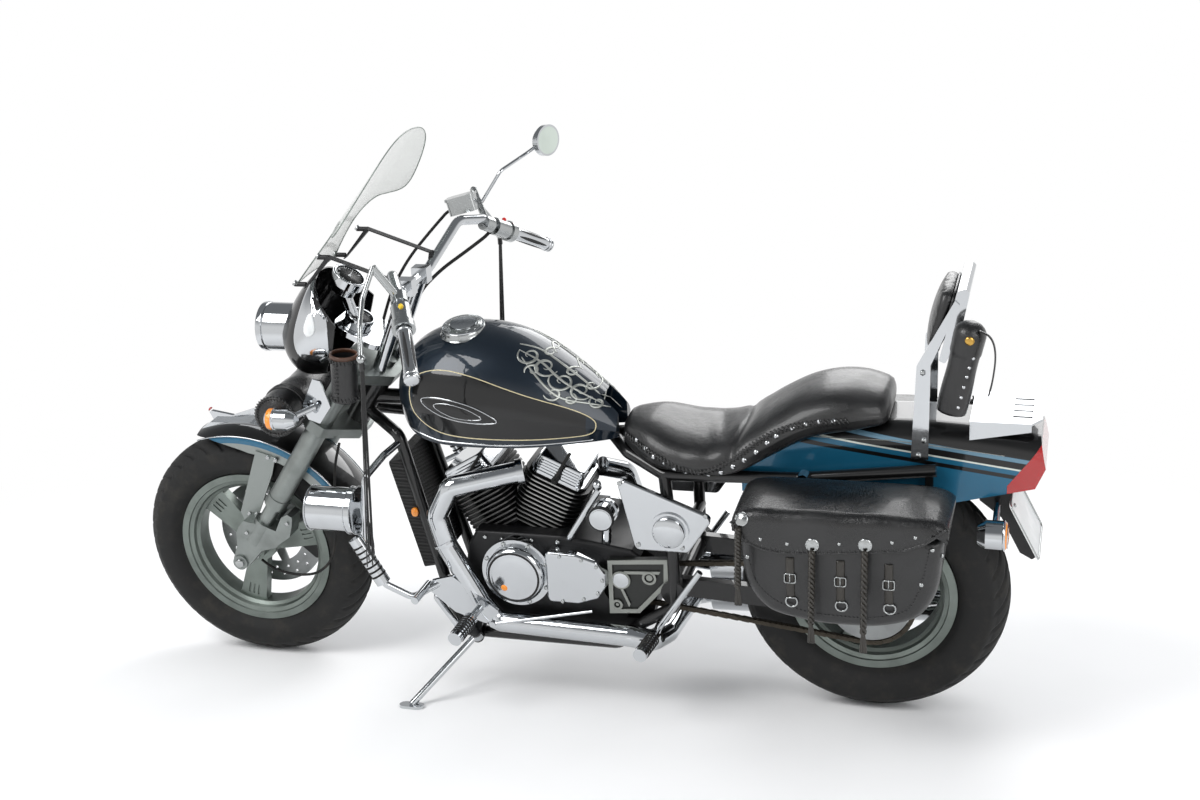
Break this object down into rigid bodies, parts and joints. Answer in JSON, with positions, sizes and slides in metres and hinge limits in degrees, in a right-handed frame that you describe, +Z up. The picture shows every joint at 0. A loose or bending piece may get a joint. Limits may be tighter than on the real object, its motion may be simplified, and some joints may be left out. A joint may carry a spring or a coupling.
{
  "type": "cruiser motorcycle",
  "caption": "Cruiser motorcycle with a V-twin engine, windscreen, leather saddlebags and backrest, parked leaning on its side stand.",
  "frame": {"origin": "on the ground, under the middle of the parked machine's outline", "axes": "+X towards the rear wheel, +Y to the rider's right, +Z up; the machine leans 10 degrees towards -Y"},
  "size_m": [2.3609, 1.0077, 1.4713],
  "materials": {
    "tyre_rubber": "matte",
    "wheel_alloy": "satin",
    "disc_steel": "machined",
    "fork_alloy": "satin",
    "chrome": "polished",
    "black_paint": "gloss",
    "fender_blue": "metallic gloss",
    "tank_navy": "metallic gloss",
    "engine_black": "satin",
    "black_leather": "grained",
    "clear_screen": "clear",
    "black_plastic": "matte",
    "red_lens": "gloss",
    "plate_white": "blank",
    "chain_steel": "oiled"
  },
  "bodies": {
    "chassis": {"frame": "black_paint", "cylinders": "engine_black", "rocker_covers": "chrome", "crankcase": "engine_black", "engine_covers": "chrome", "sprocket_cover": "engine_black", "radiator": "black_plastic", "mufflers": "chrome", "exhaust_pipes": "chrome", "fuel_tank": "tank_navy", "fuel_cap": "chrome", "rear_fender": "fender_blue", "tail_light": "red_lens", "seat": "black_leather", "side_covers": "chrome", "swingarm": "black_paint", "shock_absorbers": "chrome", "drive_chain": "chain_steel", "sissy_bar": "chrome", "backrest_pad": "black_leather", "luggage_rack": "chrome", "bottle_holder": "black_leather", "plate_holder": "black_plastic", "number_plate": "plate_white", "rear_indicators": "chrome", "left_saddlebag": "black_leather", "right_saddlebag": "black_leather", "foot_controls": "chrome", "engine_guard": "chrome", "horns": "chrome"},
    "front_end": {"fork_tubes": "fork_alloy", "fork_clamps": "fork_alloy", "fork_sliders": "fork_alloy", "brake_caliper": "black_paint", "front_fender": "fender_blue", "fender_ornament": "chrome", "handlebar": "chrome", "hand_grips": "chrome", "bar_controls": "fork_alloy", "mirror_right": "chrome", "gauges": "chrome", "headlight": "chrome", "cowl": "black_paint", "windscreen": "clear_screen", "tool_roll": "black_leather", "leather_cup": "black_leather", "front_lamps": "chrome", "screen_straps": "black_paint", "cables": "black_plastic"},
    "front_wheel": {"front_tyre": "tyre_rubber", "front_wheel": "wheel_alloy", "brake_disc": "disc_steel"},
    "rear_wheel": {"rear_tyre": "tyre_rubber", "rear_wheel": "wheel_alloy", "rear_sprocket": "disc_steel"},
    "side_stand": {"side_stand": "chrome"},
    "left_lid": {"left_bag_lid": "black_leather"},
    "right_lid": {"right_bag_lid": "black_leather"}
  },
  "joints": [
    {"name": "steering", "type": "hinge", "parent": "chassis", "child": "front_end", "pos_m": [-0.4945, 0.04583, 0.75009], "axis": [0.5592, -0.144, 0.8164], "range_deg": [-38, 38]},
    {"name": "front_wheel_spin", "type": "hinge", "parent": "front_end", "child": "front_wheel", "pos_m": [-0.8605, 0.12235, 0.31611], "axis": [0, 0.9848, 0.1736], "continuous": true},
    {"name": "rear_wheel_spin", "type": "hinge", "parent": "chassis", "child": "rear_wheel", "pos_m": [0.7845, 0.12148, 0.32104], "axis": [0, 0.9848, 0.1736], "continuous": true},
    {"name": "side_stand_swing", "type": "hinge", "parent": "chassis", "child": "side_stand", "pos_m": [-0.2055, -0.00465, 0.14953], "axis": [-0.0189, -0.6991, 0.7148], "range_deg": [0, 110.5]},
    {"name": "left_lid_hinge", "type": "hinge", "parent": "chassis", "child": "left_lid", "pos_m": [0.7395, -0.1238, 0.63521], "axis": [-1, 0, 0], "range_deg": [0, 85]},
    {"name": "right_lid_hinge", "type": "hinge", "parent": "chassis", "child": "right_lid", "pos_m": [0.7395, 0.24452, 0.70016], "axis": [1, 0, 0], "range_deg": [0, 85]}
  ]
}
